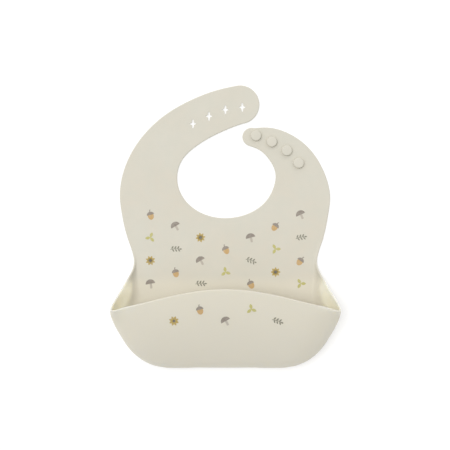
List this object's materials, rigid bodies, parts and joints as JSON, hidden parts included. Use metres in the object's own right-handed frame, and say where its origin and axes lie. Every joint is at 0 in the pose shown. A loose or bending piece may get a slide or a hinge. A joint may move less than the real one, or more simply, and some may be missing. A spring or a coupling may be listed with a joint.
{
  "type": "silicone bib",
  "caption": "Moulded silicone baby bib with a scooped catch pocket, a neck strap with star slots and a neck strap with round closure buttons.",
  "frame": {"origin": "middle of the outline on the table, on the bib's back, lying face up", "axes": "+X to the right seen from the front, +Y towards the neck straps, +Z out of the front of the bib"},
  "size_m": [0.2252, 0.2813, 0.0474],
  "materials": {
    "silicone": "matte moulded silicone, warm ivory",
    "button_silicone": "matte moulded silicone, warm ivory",
    "print": "thin matte ink printed on the silicone"
  },
  "bodies": {
    "pocket_base": {"lower_panel": "silicone", "pocket_floor": "silicone", "pocket_gusset_left": "silicone", "pocket_gusset_right": "silicone"},
    "pocket_front": {"pocket_front": "silicone"},
    "chest": {"chest_panel": "silicone"},
    "slotted_strap_1": {"slotted_strap_1": "silicone"},
    "slotted_strap_2": {"slotted_strap_2": "silicone"},
    "slotted_strap_3": {"slotted_strap_3": "silicone"},
    "slotted_strap_4": {"slotted_strap_4": "silicone"},
    "slotted_strap_5": {"slotted_strap_5": "silicone"},
    "slotted_strap_6": {"slotted_strap_6": "silicone"},
    "buttoned_strap_1": {"buttoned_strap_1": "silicone", "closure_button_1": "button_silicone"},
    "buttoned_strap_2": {"buttoned_strap_2": "silicone", "closure_button_2": "button_silicone"},
    "buttoned_strap_3": {"buttoned_strap_3": "silicone", "closure_button_3": "button_silicone"},
    "buttoned_strap_4": {"buttoned_strap_4": "silicone", "closure_button_4": "button_silicone"}
  },
  "joints": [
    {"name": "pocket_flex", "type": "hinge", "parent": "pocket_base", "child": "pocket_front", "pos_m": [0, -0.13934, 0.0122], "axis": [1, 0, 0], "range_deg": [-20, 12], "stiffness_Nm_per_rad": 0.5, "springref_deg": 1.15, "deforming": ["pocket_gusset_left", "pocket_gusset_right"]},
    {"name": "waist_fold", "type": "hinge", "parent": "pocket_base", "child": "chest", "pos_m": [0, -0.0365, 0.0009], "axis": [1, 0, 0], "range_deg": [0, 90], "stiffness_Nm_per_rad": 0.006},
    {"name": "slotted_strap_curl_1", "type": "hinge", "parent": "chest", "child": "slotted_strap_1", "pos_m": [-0.07535, 0.043, 0.0009], "axis": [0.9876, -0.1568, 0], "range_deg": [0, 25], "stiffness_Nm_per_rad": 0.002},
    {"name": "slotted_strap_curl_2", "type": "hinge", "parent": "slotted_strap_1", "child": "slotted_strap_2", "pos_m": [-0.0635, 0.07715, 0.0009], "axis": [0.8448, -0.5351, 0], "range_deg": [0, 25], "stiffness_Nm_per_rad": 0.002},
    {"name": "slotted_strap_curl_3", "type": "hinge", "parent": "slotted_strap_2", "child": "slotted_strap_3", "pos_m": [-0.04405, 0.0958, 0.0009], "axis": [0.5679, -0.8231, 0], "range_deg": [0, 25], "stiffness_Nm_per_rad": 0.002},
    {"name": "slotted_strap_curl_4", "type": "hinge", "parent": "slotted_strap_3", "child": "slotted_strap_4", "pos_m": [-0.0252, 0.107, 0.0009], "axis": [0.4472, -0.8944, 0], "range_deg": [0, 25], "stiffness_Nm_per_rad": 0.002},
    {"name": "slotted_strap_curl_5", "type": "hinge", "parent": "slotted_strap_4", "child": "slotted_strap_5", "pos_m": [-0.009, 0.1142, 0.0009], "axis": [0.3714, -0.9285, 0], "range_deg": [0, 25], "stiffness_Nm_per_rad": 0.002},
    {"name": "slotted_strap_curl_6", "type": "hinge", "parent": "slotted_strap_5", "child": "slotted_strap_6", "pos_m": [0.008, 0.1196, 0.0009], "axis": [0.1528, -0.9883, 0], "range_deg": [0, 25], "stiffness_Nm_per_rad": 0.002},
    {"name": "buttoned_strap_curl_1", "type": "hinge", "parent": "chest", "child": "buttoned_strap_1", "pos_m": [0.07445, 0.043, 0.0009], "axis": [0.9858, 0.1677, 0], "range_deg": [0, 30], "stiffness_Nm_per_rad": 0.002},
    {"name": "buttoned_strap_curl_2", "type": "hinge", "parent": "buttoned_strap_1", "child": "buttoned_strap_2", "pos_m": [0.0648, 0.0671, 0.0009], "axis": [0.7286, 0.6849, 0], "range_deg": [0, 30], "stiffness_Nm_per_rad": 0.002},
    {"name": "buttoned_strap_curl_3", "type": "hinge", "parent": "buttoned_strap_2", "child": "buttoned_strap_3", "pos_m": [0.0527, 0.07955, 0.0009], "axis": [0.5347, 0.8451, 0], "range_deg": [0, 30], "stiffness_Nm_per_rad": 0.002},
    {"name": "buttoned_strap_curl_4", "type": "hinge", "parent": "buttoned_strap_3", "child": "buttoned_strap_4", "pos_m": [0.03805, 0.0872, 0.0009], "axis": [0.3548, 0.9349, 0], "range_deg": [0, 30], "stiffness_Nm_per_rad": 0.002}
  ],
  "couplings": [
    {"joint": "slotted_strap_curl_2", "follows": "slotted_strap_curl_1", "ratio": 1},
    {"joint": "slotted_strap_curl_3", "follows": "slotted_strap_curl_1", "ratio": 1},
    {"joint": "slotted_strap_curl_4", "follows": "slotted_strap_curl_1", "ratio": 1},
    {"joint": "slotted_strap_curl_5", "follows": "slotted_strap_curl_1", "ratio": 1},
    {"joint": "slotted_strap_curl_6", "follows": "slotted_strap_curl_1", "ratio": 1},
    {"joint": "buttoned_strap_curl_2", "follows": "buttoned_strap_curl_1", "ratio": 1},
    {"joint": "buttoned_strap_curl_3", "follows": "buttoned_strap_curl_1", "ratio": 1},
    {"joint": "buttoned_strap_curl_4", "follows": "buttoned_strap_curl_1", "ratio": 1}
  ]
}
